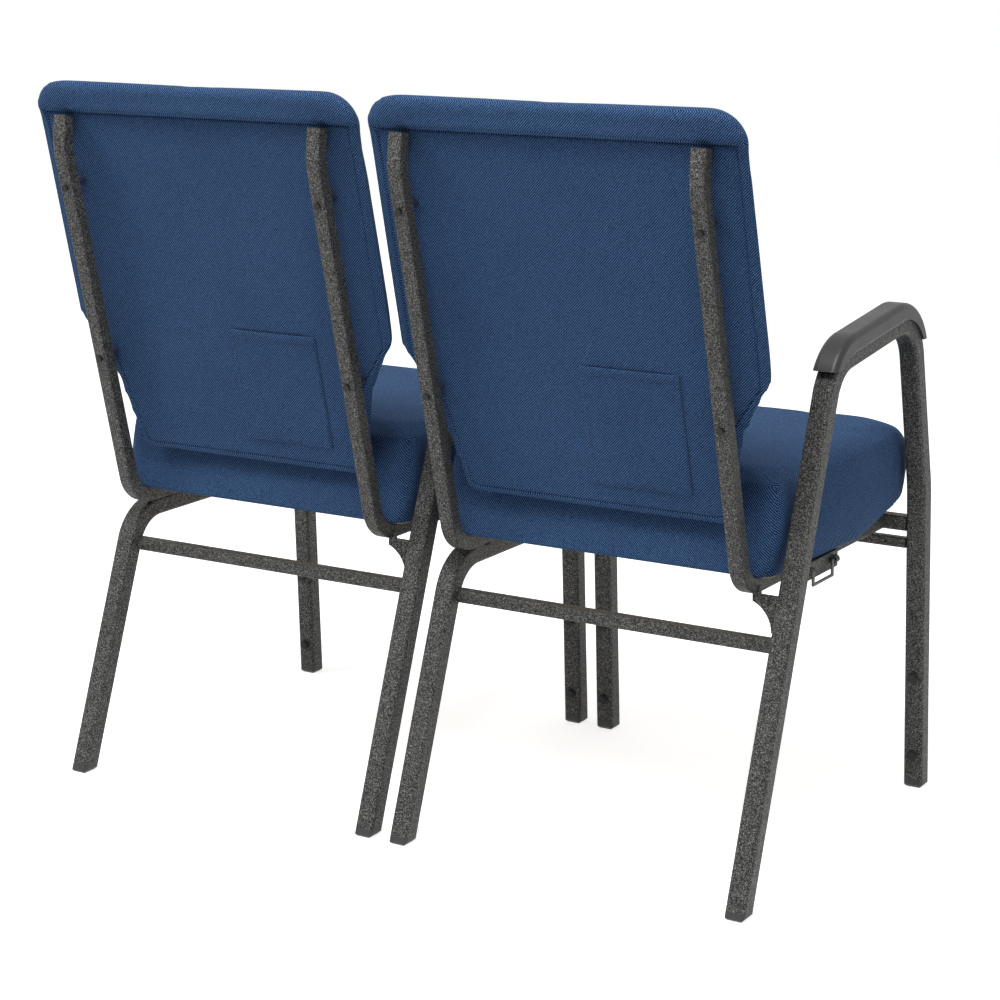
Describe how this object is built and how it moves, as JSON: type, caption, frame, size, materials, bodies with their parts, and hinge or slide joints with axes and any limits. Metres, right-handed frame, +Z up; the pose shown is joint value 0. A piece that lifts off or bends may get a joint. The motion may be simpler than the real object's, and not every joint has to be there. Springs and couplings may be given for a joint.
{
  "type": "joined stacking armchairs",
  "caption": "Upholstered stacking chairs on bent square tube frames, each with one arm, joined side by side by hinged bails.",
  "frame": {"origin": "middle of the row's box, on the floor", "axes": "+Z up, the sitters face -Y, the arm of each chair is on its -X side, chair 1 at -X and chair 2 at +X"},
  "size_m": [1.03, 0.5687, 0.909],
  "materials": {
    "frame_paint": "textured dark silver-vein powder coat",
    "navy_fabric": "fine navy blue twill",
    "plywood": "raw plywood",
    "arm_plastic": "satin moulded plastic",
    "black_plastic": "matt moulded plastic",
    "black_rubber": "matt",
    "zinc_steel": "zinc plated",
    "dark_screw": "black oxide",
    "dark_rod": "dark coated wire"
  },
  "bodies": {
    "row": {"arm_frame_1": "frame_paint", "side_frame_1": "frame_paint", "rear_stretcher_1": "frame_paint", "seat_front_bar_1": "frame_paint", "front_brace_1": "frame_paint", "rear_gusset_1": "frame_paint", "back_post_right_1": "frame_paint", "back_post_left_1": "frame_paint", "post_plugs_1": "black_plastic", "post_spacers_1": "dark_screw", "seat_board_1": "plywood", "seat_cushion_1": "navy_fabric", "back_board_1": "plywood", "back_cushion_1": "navy_fabric", "rear_panel_1": "navy_fabric", "card_pocket_1": "navy_fabric", "back_screws_1": "dark_screw", "back_tee_nuts_1": "zinc_steel", "arm_pad_1": "arm_plastic", "arm_screws_1": "dark_screw", "foot_glides_1": "black_plastic", "stack_bumpers_1": "black_rubber", "seat_screws_1": "dark_screw", "bail_bracket_1": "frame_paint", "gang_catch_1": "frame_paint", "bracket_screws_1": "dark_screw", "arm_frame_2": "frame_paint", "side_frame_2": "frame_paint", "rear_stretcher_2": "frame_paint", "seat_front_bar_2": "frame_paint", "front_brace_2": "frame_paint", "rear_gusset_2": "frame_paint", "back_post_right_2": "frame_paint", "back_post_left_2": "frame_paint", "post_plugs_2": "black_plastic", "post_spacers_2": "dark_screw", "seat_board_2": "plywood", "seat_cushion_2": "navy_fabric", "back_board_2": "plywood", "back_cushion_2": "navy_fabric", "rear_panel_2": "navy_fabric", "card_pocket_2": "navy_fabric", "back_screws_2": "dark_screw", "back_tee_nuts_2": "zinc_steel", "arm_pad_2": "arm_plastic", "arm_screws_2": "dark_screw", "foot_glides_2": "black_plastic", "stack_bumpers_2": "black_rubber", "seat_screws_2": "dark_screw", "bail_bracket_2": "frame_paint", "gang_catch_2": "frame_paint", "bracket_screws_2": "dark_screw"},
    "bail_1": {"gang_bail_1": "dark_rod"},
    "bail_2": {"gang_bail_2": "dark_rod"}
  },
  "joints": [
    {"name": "bail_1_swing", "type": "hinge", "parent": "row", "child": "bail_1", "pos_m": [-0.484, 0.01765, 0.352], "axis": [0, 1, 0], "range_deg": [-5, 125]},
    {"name": "bail_2_lift", "type": "hinge", "parent": "row", "child": "bail_2", "pos_m": [0.021, 0.01765, 0.352], "axis": [0, 1, 0], "range_deg": [0, 35]}
  ]
}
